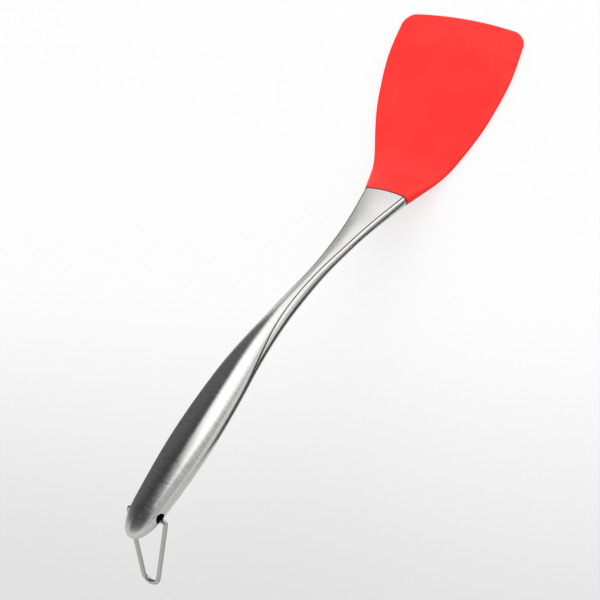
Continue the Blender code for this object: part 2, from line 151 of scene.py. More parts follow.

# Colours of the finishes, and of the painted shade on some of them
SILICONE_RED = (0.96, 0.020, 0.015)
SILICONE_DEEP_RED = (0.95, 0.012, 0.009)
# Painted shade for the sides of the blade, its front rows and the gap at the joint
SILICONE_PAINTED_SHADE = (0.12, 0.003, 0.004)
STEEL_DARK_LINE = (0.52, 0.515, 0.51)
STEEL_LIGHT_LINE = (0.69, 0.685, 0.68)
# Painted shade in the groove of the welded seam
SEAM_PAINTED_SHADE = (0.05, 0.049, 0.047)
# Painted shade on the walls of the holes through the steel
HOLE_SHADE_DARK = (0.07, 0.07, 0.07)
HOLE_SHADE_LIGHT = (0.12, 0.118, 0.115)
WIRE_DARK_LINE = (0.40, 0.395, 0.385)
WIRE_LIGHT_LINE = (0.48, 0.475, 0.465)
CORE_DARK_LINE = (0.44, 0.44, 0.435)
CORE_LIGHT_LINE = (0.56, 0.56, 0.555)
NYLON_DARK = (0.026, 0.026, 0.027)
NYLON_LIGHT = (0.036, 0.036, 0.037)

# Patterns: brushing in two layers of lines, soft handling patches, mottle of the mould
LINE_SPREADS = (1.0, 2.0)
LINE_LENGTHENING = 0.3
LINE_SHARES = (0.65, 0.35)
LINE_RANGE = (0.36, 0.64)
PATCH_RANGE = (0.35, 0.68)
MOTTLE_SCALE = 0.016
MOTTLE_RANGE = (0.3, 0.7)
STEEL_ROUGHNESS = (0.15, 0.25)
STEEL_TOUCHED_ROUGHER = 0.04

# Studio: distance of lights, levels of the room, floor with painted shade beyond a slanting line
STUDIO_DISTANCE = 1.6
WHITE = (1.0, 1.0, 1.0, 1.0)
SKY_LEVEL = 0.61
BACK_SKY_LEVEL = 0.85
SKY_TURNS = (0.0, -0.5)
BACKGROUND_LEVEL = 0.955
FLOOR_RADIUS = 4.0
FLOOR_CORNERS = 96
FLOOR_FADE = (0.45, 1.60)
FLOOR_SLANT = 0.2
FLOOR_SHADE_EDGE = (0.11, 0.31)
FLOOR_PALE = (0.82, 0.82, 0.82)
FLOOR_PAINTED_SHADE = (0.72, 0.72, 0.72)
FLOOR_GLOW_SHARE = 0.75
GLOW_PALE = (BACKGROUND_LEVEL,) * 3
GLOW_PAINTED_SHADE = (0.71, 0.71, 0.71)

# Soft lamps, as (name, degrees round, degrees up, size, level, target)
SOFT_LAMPS = (
    ("window_lamp", 12.0, 21.0, (2.65, 1.92), 1.25, (0.0, -0.12, 0.05)),
    ("overhead_lamp", -40.0, 72.0, (2.0, 2.0), 1.25, (0.0, -0.10, 0.0)),
    ("side_fill", 85.0, 18.0, (1.6, 1.0), 0.8, (0.0, -0.05, 0.0)),
)

# Window in the steel: its place, then its soft edges and levels by degrees round and by rise
WINDOW_TARGET = (0.0, -0.12, 0.05)
WINDOW_HEADING = (14.0, 24.0)
WINDOW_SIZE = (3.8, 2.4)
WINDOW_LEFT_EDGE = (-36.0, -34.0)
WINDOW_RIGHT_EDGE = (48.0, 58.0)
WINDOW_TOP_EDGE = (0.82, 0.92)
WINDOW_STRIP_EDGE = (-30.3, -27.0)
WINDOW_STRIP_LEVEL = 0.45
WINDOW_PANE_TURNS = (-20.0, 5.0)
WINDOW_PANE_RISES = (0.3, 0.6)
WINDOW_LEFT_LEVELS = (1.50, 1.20)
WINDOW_RIGHT_LEVELS = (1.60, 1.90)

# Dark cards just over the floor, as (level, places of the corners)
LOW_HEIGHT = 0.003
LOW_FLAG = (0.10, ((0.022, -0.22), (0.16, -0.22), (0.022, -0.08), (0.12, -0.08)))
MOUTH_FLAG = (0.07, ((0.026, -0.08), (0.085, -0.08), (0.042, 0.03), (0.20, 0.03)))
UNDER_FLAG = (0.12, ((-0.14, -0.255), (-0.02, -0.255), (-0.14, -0.14), (-0.02, -0.14)))

# Dark upright cards, as (left foot, right foot, top, axis, how it clears along that axis)
TALL_FLAG_RISES = (0.12, 0.26)
TALL_FLAG_LEVELS = (0.15, 0.07)
SIDE_FLAG = ((-0.015, -0.051, 0.115), (-0.14, -0.21, 0.002), 0.32, "X", (-0.045, -0.015, 1.0, 0.0))
END_FLAG = ((-0.14, -0.21, 0.002), (-0.14, -0.29, 0.002), 0.40, "Y", (-0.29, -0.24, 0.0, 1.0))

# Dark card over the grip: its corners, then its curved right edge by the distance behind a line
ROOF_HEIGHT = 0.25
ROOF_LEVEL = 0.06
ROOF_CORNERS = ((-0.12, -0.46), (0.25, -0.46), (-0.12, -0.07), (0.25, -0.07))
ROOF_LINE = -0.046
ROOF_EDGE_START = -0.024
ROOF_EDGE_SLOPE = 0.35
ROOF_EDGE_CURVE = 4.5
ROOF_STEEPER_FROM = 0.08
ROOF_STEEPER_SLOPE = 1.15
ROOF_LIMIT_START = 0.064
ROOF_LIMIT_SLOPE = 0.455
ROOF_SOFTNESS = (-0.07, 0.07)
ROOF_FRONT_FADE = (-0.11, -0.07)
ROOF_REAR_FADE = (-0.46, -0.22)


def ease(share):
    """Smooth step from 0 to 1."""
    share = min(1.0, max(0.0, share))
    return share * share * (3.0 - 2.0 * share)


def smooth_through(knots, at):
    """Value at a distance on the smooth curve through (distance, value) knots, without overshoot."""
    at = min(max(at, knots[0][0]), knots[-1][0])
    slopes = [(b[1] - a[1]) / (b[0] - a[0]) for a, b in zip(knots, knots[1:])]
    bends = [slopes[0]]
    for before, after in zip(slopes, slopes[1:]):
        same_way = before * after > 0.0
        bends.append(2.0 * before * after / (before + after) if same_way else 0.0)
    bends.append(slopes[-1])
    for index, (a, b) in enumerate(zip(knots, knots[1:])):
        if at <= b[0]:
            break
    span = b[0] - a[0]
    t = (at - a[0]) / span
    rise = (2.0 * t - 3.0) * t * t
    return (
        a[1] * (1.0 + rise)
        - b[1] * rise
        + bends[index] * span * t * (1.0 - t) ** 2
        - bends[index + 1] * span * t * t * (1.0 - t)
    )


def centre_line(q):
    """Depth, height and pitch of the centre line at distance q back from the tip."""
    straight = HEAD_LENGTH + HANDLE_BEND_START - HEAD_FLAT_LENGTH - HEAD_BEND_LENGTH
    runs = (
        (HEAD_FLAT_LENGTH, 0.0),
        (HEAD_BEND_LENGTH, HEAD_BEND_ANGLE),
        (straight, 0.0),
        (HANDLE_BEND_LENGTH, -HANDLE_BEND_ANGLE),
        (math.inf, 0.0),
    )
    y, z, pitch = HEAD_FLAT_LENGTH / 2.0, HEAD_THICKNESS / 2.0, 0.0
    for length, turn in runs:
        step = min(q, length)
        if turn:
            radius = length / turn
            turned = pitch + turn * step / length
            y -= radius * (math.sin(turned) - math.sin(pitch))
            z += radius * (math.cos(pitch) - math.cos(turned))
            pitch = turned
        else:
            y -= step * math.cos(pitch)
            z += step * math.sin(pitch)
        q -= step
        if q <= 0.0:
            break
    return y, z, pitch


def place(x, q, n):
    """Point at x across, q back from the tip and n above the centre line."""
    y, z, pitch = centre_line(q)
    return Vector((x, y + n * math.sin(pitch), z + n * math.cos(pitch)))


def mouth_setback(x, d):
    """How far the curved mouth edge moves a point back, dying out away from the mouth."""
    fade = ease(1.0 - abs(d) / MOUTH_ARC_FADE)
    return MOUTH_ARC * (2.0 * x / MOUTH_WIDTH) ** 2 * fade


def side_arc(half_width, edge_height, roundness):
    """Centre, radius and reach of the arc that rounds a side from its upper to its lower edge."""
    radius = edge_height * (1.0 + roundness**2) / (2.0 * roundness)
    reach = math.asin(min(1.0, edge_height / radius))
    return half_width - radius, radius, reach


def nothing_selected():
    """Leave edit mode and deselect every object."""
    if bpy.context.mode != "OBJECT":
        bpy.ops.object.mode_set(mode="OBJECT")
    bpy.ops.object.select_all(action="DESELECT")


def ring_of(name, corners):
    """Start a piece as one open ring with numbered corners, and go into edit mode."""
    nothing_selected()
    bpy.ops.mesh.primitive_circle_add(vertices=corners, radius=START_RADIUS)
    piece = bpy.context.object
    piece.name = name
    piece.data.name = name
    bpy.ops.object.mode_set(mode="EDIT")
    bm = bmesh.from_edit_mesh(piece.data)
    corner = bm.verts.layers.int.new("corner")
    bm.verts.layers.int.new("row")
    for number, vertex in enumerate(bm.verts):
        vertex[corner] = number
    bmesh.update_edit_mesh(piece.data)
    return piece


def numbered(piece):
    """The mesh in edit mode, with the numbers of its corners and rows."""
    bm = bmesh.from_edit_mesh(piece.data)
    return bm, bm.verts.layers.int["corner"], bm.verts.layers.int["row"]


def draw_over(piece, rows):
    """Draw the open ring out over its rows: each extrusion is put on the next section."""
    for number, points in enumerate(rows):
        if number:
            bpy.ops.mesh.extrude_edges_move()
        bm, corner, row = numbered(piece)
        for vertex in bm.verts:
            if vertex.select:
                vertex.co = points[vertex[corner]]
                vertex[row] = number
        bmesh.update_edit_mesh(piece.data)


def lay_uv(piece, rows, along):
    """UV map in metres: U runs along the piece and V round it."""
    around = []
    for points in rows:
        lengths = [0.0]
        for first, second in zip(points, points[1:] + points[:1]):
            lengths.append(lengths[-1] + (second - first).length)
        around.append(lengths)
    bm, corner, row = numbered(piece)
    uv = bm.loops.layers.uv.new("lengthwise")
    last = len(rows[0]) - 1
    for face in bm.faces:
        numbers = [loop.vert[corner] for loop in face.loops]
        wraps = 0 in numbers and last in numbers
        for loop, number in zip(face.loops, numbers):
            at = loop.vert[row]
            if wraps and number == 0:
                number = last + 1
            loop[uv].uv = (along[at], around[at][number])
    bmesh.update_edit_mesh(piece.data)


def mark_corners(piece, name, value_at):
    """Float attribute on the mesh, its value given by the row and the number of a corner."""
    bm, corner, row = numbered(piece)
    layer = bm.verts.layers.float.new(name)
    for vertex in bm.verts:
        vertex[layer] = value_at(vertex[row], vertex[corner])
    bmesh.update_edit_mesh(piece.data)


def select_row(piece, number):
    """Select one row of corners in edit mode."""
    bpy.ops.mesh.select_all(action="DESELECT")
    bpy.ops.mesh.select_mode(type="VERT")
    bm, _, row = numbered(piece)
    for vertex in bm.verts:
        vertex.select = vertex[row] == number
    bm.select_flush(True)
    bmesh.update_edit_mesh(piece.data)


def close_piece(piece, rows):
    """Weld the folded first and last row shut, turn all faces outwards and leave edit mode."""
    for number in (0, len(rows) - 1):
        select_row(piece, number)
        bpy.ops.mesh.remove_doubles(threshold=WELD_DISTANCE)
    bpy.ops.mesh.select_all(action="SELECT")
    bpy.ops.mesh.normals_make_consistent(inside=False)
    bpy.ops.object.mode_set(mode="OBJECT")


def select_only(piece):
    """Make a piece the one that is selected and active."""
    nothing_selected()
    piece.select_set(True)
    bpy.context.view_layer.objects.active = piece


def smooth_finish(piece, degrees):
    """Smooth shading with sharp edges above an angle."""
    select_only(piece)
    bpy.ops.object.shade_smooth_by_angle(angle=math.radians(degrees))


def cut_with(piece, cutter):
    """Take the cutter's shape out of a piece and throw the cutter away."""
    select_only(piece)
    modifier = piece.modifiers.new("cut", "BOOLEAN")
    modifier.operation = "DIFFERENCE"
    modifier.solver = "EXACT"
    modifier.object = cutter
    bpy.ops.object.modifier_apply(modifier=modifier.name)
    bpy.data.objects.remove(cutter, do_unlink=True)


def handle_size(d):
    """Half width and half thickness of the handle at distance d back, before its end is rounded off."""
    return smooth_through(HANDLE_WIDTHS, d) / 2.0, smooth_through(HANDLE_THICKNESSES, d) / 2.0


def dome_share(d):
    """Share of the full section that is left at distance d, where the handle's end is rounded off."""
    over = max(0.0, (d - (HANDLE_LENGTH - DOME_LENGTH)) / DOME_LENGTH)
    return max(0.0, 1.0 - over**DOME_FULLNESS) ** (1.0 / DOME_FULLNESS)


def handle_roundness(d):
    """Roundness of the handle's side, which is flatter near the mouth."""
    at_mouth = ease(1.0 - d / MOUTH_ROUNDNESS_FADE)
    return SIDE_ROUNDNESS + (MOUTH_ROUNDNESS - SIDE_ROUNDNESS) * at_mouth


def seam_share(d):
    """Share of the welded seam that is left at distance d: all on the stem, none on the grip."""
    return 1.0 - ease((d - SEAM_FADE_FROM) / (SEAM_FADE_TO - SEAM_FADE_FROM))


def handle_outline(d, inset):
    """Ring of (x, n, distance from the upper crease): over the top to the left, then back below.

    Towards the grip it turns into an oval, its lower half shared equally by the sides and the back.
    """
    half_width, half_height = handle_size(d)
    half_width -= inset
    half_height -= inset
    crown = half_height * FACE_CROWN
    centre, radius, reach = side_arc(half_width, half_height - crown, handle_roundness(d))
    crease = centre + radius * math.cos(reach)
    oval = ease((d - CREASE_END) / (OVAL_START - CREASE_END))

    def face(x):
        return half_height - crown * (x / crease) ** 2

    def rounded(x, n, turn):
        oval_x = half_width * math.cos(turn)
        oval_n = half_height * math.sin(turn)
        return x + oval * (oval_x - x), n + oval * (oval_n - n)

    near = [0.0, *SEAM_FINE_STEPS, *SEAM_STEPS]
    start = math.acos(1.0 - near[-1] / crease)
    turns = [math.acos(1.0 - step / crease) for step in near]
    middle = [start + (math.pi - 2.0 * start) * step / TOP_CORNERS for step in range(1, TOP_CORNERS)]
    top = []
    for turn in turns + middle + [math.pi - turn for turn in reversed(turns)]:
        x = crease * math.cos(turn)
        top.append((*rounded(x, face(x), turn), (crease - abs(x)) / SEAM_TOP_SHARE))

    side = [(reach - step / radius, step) for step in SEAM_STEPS]
    first = side[-1][0]
    for step in range(1, SIDE_CORNERS + 1):
        side.append((first - (first + reach) * step / SIDE_CORNERS, 1.0))
    left = []
    right = []
    for turn, step in side:
        share = (1.0 - turn / reach) / 6.0
        x, n = centre + radius * math.cos(turn), radius * math.sin(turn)
        left.append((*rounded(-x, n, math.pi * (1.0 + share)), step))
        right.append((*rounded(x, n, math.pi * (2.0 - share)), step))
    below = []
    for step in range(1, BOTTOM_CORNERS):
        share = step / BOTTOM_CORNERS
        x = -crease * math.cos(math.pi * share)
        below.append((*rounded(x, -face(x), math.pi * (4.0 + share) / 3.0), 1.0))
    return top + left + below + list(reversed(right))


def with_seam(ring, d):
    """The outer ring with the groove of the welded seam sunk along both creases."""
    fade = seam_share(d)
    sunk = []
    for index, (x, n, step) in enumerate(ring):
        if step < SEAM_HALF_WIDTH and fade > 0.0:
            before = ring[index - 1]
            after = ring[(index + 1) % len(ring)]
            inward = Vector((before[1] - after[1], after[0] - before[0])).normalized()
            depth = SEAM_DEPTH * fade * math.cos(math.pi / 2.0 * step / SEAM_HALF_WIDTH) ** 2
            x += inward.x * depth
            n += inward.y * depth
        sunk.append((x, n, step))
    return sunk


def handle_rows():
    """Rows of the handle, with their distances, over the outside to the mouth and back inside it."""
    straight = HANDLE_LENGTH - DOME_LENGTH
    outside = [(HANDLE_LENGTH, 0.0, 0.0)]
    inside = []
    for row in reversed(range(1, DOME_ROWS)):
        d = straight + DOME_LENGTH * math.sin(math.pi / 2.0 * row / DOME_ROWS)
        outside.append((d, 0.0, dome_share(d)))
    for row in reversed(range(1, STEM_ROWS + 1)):
        outside.append((RIM_ROUND + (straight - RIM_ROUND) * row / STEM_ROWS, 0.0, 1.0))
    outside += [
        (RIM_SUPPORT, 0.0, 1.0),
        (RIM_ROUND, 0.0, 1.0),
        (RIM_CORNER, RIM_CORNER, 1.0),
        (0.0, RIM_ROUND, 1.0),
        (0.0, WALL - RIM_ROUND, 1.0),
        (RIM_ROUND, WALL, 1.0),
    ]
    for row in range(1, STEM_ROWS // 2 + 1):
        inside.append((straight * 2.0 * row / STEM_ROWS, WALL, 1.0))
    for row in range(1, DOME_ROWS):
        over = math.sin(math.pi / 2.0 * row / DOME_ROWS)
        share = dome_share(straight + DOME_LENGTH * over)
        inside.append((straight + (DOME_LENGTH - WALL) * over, WALL, share))
    inside.append((HANDLE_LENGTH - WALL, WALL, 0.0))

    rows = []
    along = []
    for d, inset, share in outside + inside:
        ring = handle_outline(d, inset)
        if inset < RIM_ROUND:
            ring = with_seam(ring, d)
        row = []
        for x, n, _ in ring:
            x *= share
            n *= share
            row.append(place(x, HEAD_LENGTH + d + mouth_setback(x, d), n))
        rows.append(row)
        along.append(d)
    return rows, along, len(outside)


def mark_seam_shade(piece, along, outside_rows):
    """Painted shade as an attribute: 1 at the bottom of the welded seam's groove and 0 away from it and
    inside the handle.
    """
    steps = [step for _, _, step in handle_outline(SEAM_FADE_FROM, 0.0)]

    def depth_at(row, corner):
        if row >= outside_rows:
            return 0.0
        share = (SEAM_HALF_WIDTH - steps[corner]) / (SEAM_HALF_WIDTH - SEAM_CORE)
        return seam_share(along[row]) * max(0.0, min(1.0, share))

    mark_corners(piece, "seam", depth_at)


def make_handle():
    """The two pressed halves, welded and ground: one hollow skin with a rim at the mouth."""
    rows, along, outside_rows = handle_rows()
    handle = ring_of("steel_handle", len(rows[0]))
    draw_over(handle, rows)
    lay_uv(handle, rows, along)
    mark_seam_shade(handle, along, outside_rows)
    close_piece(handle, rows)

    nothing_selected()
    hole_at = HEAD_LENGTH + HANDLE_LENGTH - HOLE_TO_END
    bpy.ops.mesh.primitive_cylinder_add(
        vertices=HOLE_SIDES,
        radius=HOLE_DIAMETER / 2.0,
        depth=PUNCH_LENGTH,
        location=place(0.0, hole_at, 0.0),
        rotation=(0.0, math.pi / 2.0, 0.0),
    )
    punch = bpy.context.object
    for face in punch.data.polygons:
        face.material_index = 1
    cut_with(handle, punch)
    smooth_finish(handle, METAL_SHARP_ANGLE)
    return handle


def head_half_width(q):
    """Half width of the head at distance q back from the tip, with its front corners rounded."""
    left = max(0.0, 1.0 - q / HEAD_CORNER_RADIUS)
    loss = HEAD_CORNER_RADIUS * (1.0 - math.sqrt(1.0 - left * left))
    return smooth_through(HEAD_WIDTHS, q) / 2.0 - loss


def head_swell(q):
    """Share of the swelling towards the root."""
    return ease((q - (HEAD_LENGTH - HEAD_ROOT_SWELL)) / HEAD_ROOT_SWELL)


def head_levels(q):
    """Lower and upper face of the head, measured from the centre line."""
    half = HEAD_THICKNESS / 2.0
    root = MOUTH_THICKNESS / 2.0
    thinned = (HEAD_THICKNESS - HEAD_FRONT_THICKNESS) * (1.0 - min(1.0, q / HEAD_FRONT_TAPER))
    swell = head_swell(q)
    return -half - (root - half) * swell, half - thinned + (root - half) * swell


def head_outline(half_width, half_height, roundness):
    """Ring of a flat section with rounded sides: over the top from right to left, then back below."""
    centre, radius, reach = side_arc(half_width, half_height, roundness)
    crease = centre + radius * math.cos(reach)
    upper = []
    for step in range(HEAD_EDGE_CORNERS):
        turn = reach * step / HEAD_EDGE_CORNERS
        upper.append((centre + radius * math.cos(turn), radius * math.sin(turn)))
    for step in range(HEAD_FACE_CORNERS + 1):
        upper.append((crease * (1.0 - 2.0 * step / HEAD_FACE_CORNERS), half_height))
    for step in range(1, HEAD_EDGE_CORNERS + 1):
        turn = reach * (1.0 - step / HEAD_EDGE_CORNERS)
        upper.append((-centre - radius * math.cos(turn), radius * math.sin(turn)))
    lower = [(x, -n) for x, n in reversed(upper[1:-1])]
    return upper + lower


def head_rows():
    """Rows of the head from its rounded front edge to its root, each with its distance."""
    nose = HEAD_FRONT_THICKNESS / 2.0
    steps = []
    for row in range(HEAD_CORNER_ROWS + 1):
        q = HEAD_CORNER_RADIUS * (1.0 - math.cos(math.pi / 2.0 * row / HEAD_CORNER_ROWS))
        left = max(0.0, 1.0 - q / nose)
        steps.append((q, 0.0, math.sqrt(1.0 - left * left)))
    end = HEAD_LENGTH - HEAD_JOINT_GAP
    rest = end - HEAD_JOINT_SHADE_LENGTH - HEAD_CORNER_RADIUS
    for row in range(1, HEAD_ROWS + 1):
        steps.append((HEAD_CORNER_RADIUS + rest * row / HEAD_ROWS, 0.0, 1.0))
    steps.append((end - HEAD_ROOT_ROUND_FROM, 0.0, 1.0))
    for row in range(HEAD_ROOT_ROWS + 1):
        turn = math.pi / 2.0 * row / HEAD_ROOT_ROWS
        q = end - HEAD_ROOT_ROUND * (1.0 - math.sin(turn))
        steps.append((q, HEAD_ROOT_ROUND * (1.0 - math.cos(turn)), 1.0))
    steps += [(end, HEAD_ROOT_ROUND, share) for share in HEAD_ROOT_CLOSING]

    rows = []
    for q, inset, share in steps:
        low, high = head_levels(q)
        middle = (high + low) / 2.0
        half = (high - low) / 2.0
        roundness = 1.0 - (1.0 - MOUTH_ROUNDNESS) * head_swell(q)
        front = max(0.0, 1.0 - q / HEAD_WIDTHS[1][0])
        row = []
        for x, n in head_outline(head_half_width(q) - inset, half - inset, roundness):
            curve = HEAD_FRONT_ARC * (2.0 * x / HEAD_WIDTHS[0][1]) ** 2 * front
            at = q + curve + mouth_setback(x, q - HEAD_LENGTH)
            row.append(place(x, at, middle + n * share))
        rows.append(row)
    return rows, [q for q, _, _ in steps]


def mark_head_painted_shade(piece, corners, along):
    """Painted shade as an attribute: 1 in the gap along the joint, low round the sides of the blade and
    0 on its faces.
    """
    half = corners // 2
    joint_end = HEAD_LENGTH - HEAD_JOINT_GAP - HEAD_ROOT_ROUND_FROM
    joint_start = HEAD_LENGTH - HEAD_JOINT_GAP - HEAD_JOINT_SHADE_LENGTH

    def shade_at(row, corner):
        steps = min(corner, abs(corner - half), corners - corner)
        side = ease(HEAD_SIDE_FULL - steps / (HEAD_EDGE_CORNERS * HEAD_SIDE_REACH))
        front = ease(1.0 - row / HEAD_FRONT_SHADED_ROWS)
        joint = (along[row] - joint_start) / (joint_end - joint_start)
        return max(HEAD_SIDE_SHADE_DEPTH * max(side, front), min(1.0, joint))

    mark_corners(piece, "edge", shade_at)


def make_head():
    """Silicone blade and root, moulded round the core plate."""
    rows, along = head_rows()
    head = ring_of("silicone_blade", len(rows[0]))
    draw_over(head, rows)
    lay_uv(head, rows, along)
    mark_head_painted_shade(head, len(rows[0]), along)
    close_piece(head, rows)
    smooth_finish(head, HEAD_SHARP_ANGLE)
    return head


def wire_path():
    """Centre line of the wire as (x, r) points, r being the distance from the hinge axis."""
    at = HANDLE_LENGTH - HOLE_TO_END
    side = handle_size(at)[0] * dome_share(at)
    corner_x = side + LOOP_SIDE_CLEARANCE + WIRE_DIAMETER / 2.0
    apex_r = LOOP_LENGTH - LOOP_APEX_RADIUS
    lean = math.atan2(corner_x, apex_r) - math.asin(LOOP_APEX_RADIUS / math.hypot(corner_x, apex_r))
    turn = math.pi / 2.0 + lean
    setback = LOOP_CORNER_RADIUS * math.tan(turn / 2.0)
    end = side - WALL - LOOP_END_INSIDE
    right = [(end, 0.0), (end + WIRE_END_CHAMFER, 0.0)]
    for step in range(WIRE_BEND_ROWS + 1):
        angle = turn * step / WIRE_BEND_ROWS
        x = corner_x - setback + LOOP_CORNER_RADIUS * math.sin(angle)
        right.append((x, LOOP_CORNER_RADIUS * (1.0 - math.cos(angle))))
    leg_start = right[-1]
    leg_end = (LOOP_APEX_RADIUS * math.cos(lean), apex_r + LOOP_APEX_RADIUS * math.sin(lean))
    for step in range(1, WIRE_LEG_ROWS):
        share = step / WIRE_LEG_ROWS
        x = leg_start[0] + (leg_end[0] - leg_start[0]) * share
        right.append((x, leg_start[1] + (leg_end[1] - leg_start[1]) * share))
    for step in range(WIRE_BEND_ROWS + 1):
        angle = lean + (math.pi / 2.0 - lean) * step / WIRE_BEND_ROWS
        x = LOOP_APEX_RADIUS * math.cos(angle)
        right.append((x, apex_r + LOOP_APEX_RADIUS * math.sin(angle)))
    return right + [(-x, r) for x, r in reversed(right[:-1])]


def leaning(x, r):
    """Point of the wire, with the loop leaning and shifted a little to one side in its loose holes."""
    aside = x * math.cos(LOOP_LEAN) - r * math.sin(LOOP_LEAN)
    return Vector((aside + LOOP_SHIFT, x * math.sin(LOOP_LEAN) + r * math.cos(LOOP_LEAN)))


def make_wire_loop():
    """Bent wire, its two chamfered ends turned in through the holes of the handle."""
    q = HEAD_LENGTH + HANDLE_LENGTH - HOLE_TO_END
    heading = math.pi - centre_line(q)[2] + LOOP_HANG_ANGLE
    hang = Vector((0.0, math.cos(heading), math.sin(heading)))
    across = Vector((0.0, -math.sin(heading), math.cos(heading)))
    start = place(0.0, q, 0.0) + hang * LOOP_SAG
    path = [leaning(x, r) for x, r in wire_path()]
    rows = []
    along = []
    run = 0.0
    for index, point in enumerate(path):
        before = path[max(index - 1, 0)]
        after = path[min(index + 1, len(path) - 1)]
        forward = (after - before).normalized()
        sideways = Vector((forward.y, -forward.x))
        radius = WIRE_DIAMETER / 2.0
        if index in (0, len(path) - 1):
            radius -= WIRE_END_CHAMFER
        run += (point - before).length
        row = []
        for number in range(WIRE_SIDES):
            turn = 2.0 * math.pi * number / WIRE_SIDES
            flat = point + sideways * math.cos(turn) * radius
            depth = math.sin(turn) * radius
            row.append(start + Vector((flat.x, 0.0, 0.0)) + hang * flat.y + across * depth)
        rows.append(row)
        along.append(run)
    first_tip = sum(rows[0], Vector()) / WIRE_SIDES
    last_tip = sum(rows[-1], Vector()) / WIRE_SIDES
    rows = [[first_tip] * WIRE_SIDES, *rows, [last_tip] * WIRE_SIDES]
    along = [along[0], *along, along[-1]]

    loop = ring_of("wire_loop", WIRE_SIDES)
    draw_over(loop, rows)
    lay_uv(loop, rows, along)
    close_piece(loop, rows)
    smooth_finish(loop, METAL_SHARP_ANGLE)
    return loop


def new_group(name, numbers, results):
    """New shader node group, as (group, the values it is given, its results)."""
    group = bpy.data.node_groups.new(name, "ShaderNodeTree")
    group.interface.new_socket(name="Place", in_out="INPUT", socket_type="NodeSocketVector")
    for label in numbers:
        group.interface.new_socket(name=label, in_out="INPUT", socket_type="NodeSocketFloat")
    for label in results:
        group.interface.new_socket(name=label, in_out="OUTPUT", socket_type="NodeSocketFloat")
    given = group.nodes.new("NodeGroupInput")
    return group, given.outputs, group.nodes.new("NodeGroupOutput").inputs


def feed(tree, socket, value):
    """Put a link or a plain value on a socket."""
    if isinstance(value, bpy.types.NodeSocket):
        tree.links.new(value, socket)
    else:
        socket.default_value = value


def maths(tree, operation, *values):
    """Math node on links or numbers. Returns its output."""
    node = tree.nodes.new("ShaderNodeMath")
    node.operation = operation
    for socket, value in zip(node.inputs, values):
        feed(tree, socket, value)
    return node.outputs[0]


def product(tree, first, *others):
    """Product of links or numbers."""
    for other in others:
        first = maths(tree, "MULTIPLY", first, other)
    return first


def vector_maths(tree, operation, vector):
    """Vector Math node on a link. Returns the node."""
    node = tree.nodes.new("ShaderNodeVectorMath")
    node.operation = operation
    tree.links.new(vector, node.inputs[0])
    return node


def axes_of(tree, vector):
    """The X, Y and Z of a vector, as the outputs of one node."""
    node = tree.nodes.new("ShaderNodeSeparateXYZ")
    tree.links.new(vector, node.inputs[0])
    return node.outputs


def noise(tree, vector, scale, detail=3.0, roughness=0.6):
    """Noise texture. Returns its value."""
    node = tree.nodes.new("ShaderNodeTexNoise")
    node.inputs["Detail"].default_value = detail
    node.inputs["Roughness"].default_value = roughness
    tree.links.new(vector, node.inputs["Vector"])
    feed(tree, node.inputs["Scale"], scale)
    return node.outputs["Fac"]


def remap(tree, value, low, high, to_low=0.0, to_high=1.0, smooth=True):
    """Map Range node, a smooth step or a straight line. Returns its output."""
    node = tree.nodes.new("ShaderNodeMapRange")
    node.interpolation_type = "SMOOTHSTEP" if smooth else "LINEAR"
    tree.links.new(value, node.inputs["Value"])
    labels = ("From Min", "From Max", "To Min", "To Max")
    for label, number in zip(labels, (low, high, to_low, to_high)):
        feed(tree, node.inputs[label], number)
    return node.outputs["Result"]


def make_abrasive_lines():
    """Group: fine lines left by an abrasive belt, running square to a given distance."""
    numbers = ("Distance", "Line Width", "Line Length")
    group, given, result = new_group("abrasive_lines", numbers, ("Height", "Streaks"))
    axes = axes_of(group, given["Place"])
    layers = []
    for spread in LINE_SPREADS:
        width = product(group, given["Line Width"], spread)
        length = product(group, given["Line Length"], 1.0 + LINE_LENGTHENING * spread)
        join = group.nodes.new("ShaderNodeCombineXYZ")
        group.links.new(maths(group, "DIVIDE", given["Distance"], width), join.inputs[0])
        group.links.new(maths(group, "DIVIDE", axes["X"], length), join.inputs[1])
        group.links.new(maths(group, "DIVIDE", axes["Z"], length), join.inputs[2])
        layers.append(noise(group, join.outputs[0], 1.0))
    group.links.new(layers[0], result["Height"])
    fine, broad = [product(group, layer, share) for layer, share in zip(layers, LINE_SHARES)]
    both = maths(group, "ADD", fine, broad)
    streaks = remap(group, both, *LINE_RANGE, smooth=False)
    group.links.new(streaks, result["Streaks"])
    return group


def make_handling_marks():
    """Group: soft patches where a surface has been touched and wiped."""
    group, given, result = new_group("handling_marks", ("Patch Size",), ("Patches",))
    scale = maths(group, "DIVIDE", 1.0, given["Patch Size"])
    patches = noise(group, given["Place"], scale, detail=4.0, roughness=0.55)
    shown = remap(group, patches, *PATCH_RANGE)
    group.links.new(shown, result["Patches"])
    return group


def make_moulded_grain():
    """Group: the faint matt grain that a mould leaves."""
    group, given, result = new_group("moulded_grain", ("Grain Size",), ("Height", "Mottle"))
    scale = maths(group, "DIVIDE", 1.0, given["Grain Size"])
    grain = noise(group, given["Place"], scale)
    group.links.new(grain, result["Height"])
    broad_scale = product(group, scale, MOTTLE_SCALE)
    broad = noise(group, given["Place"], broad_scale)
    mottle = remap(group, broad, *MOTTLE_RANGE)
    group.links.new(mottle, result["Mottle"])
    return group


def new_finish(name, metallic=0.0):
    """New material with its tree, shader and object coordinates."""
    material = bpy.data.materials.new(name)
    material.use_nodes = True
    tree = material.node_tree
    shader = tree.nodes["Principled BSDF"]
    shader.inputs["Metallic"].default_value = metallic
    return material, tree, shader, tree.nodes.new("ShaderNodeTexCoord").outputs["Object"]


def use_group(tree, group, place_at, **values):
    """Put a node group in a material, with links or numbers on its inputs. Returns its outputs."""
    node = tree.nodes.new("ShaderNodeGroup")
    node.node_tree = group
    tree.links.new(place_at, node.inputs["Place"])
    for label, value in values.items():
        feed(tree, node.inputs[label.replace("_", " ")], value)
    return node.outputs


def attribute_of(tree, name):
    """A float attribute of the piece."""
    node = tree.nodes.new("ShaderNodeAttribute")
    node.attribute_name = name
    return node.outputs["Fac"]


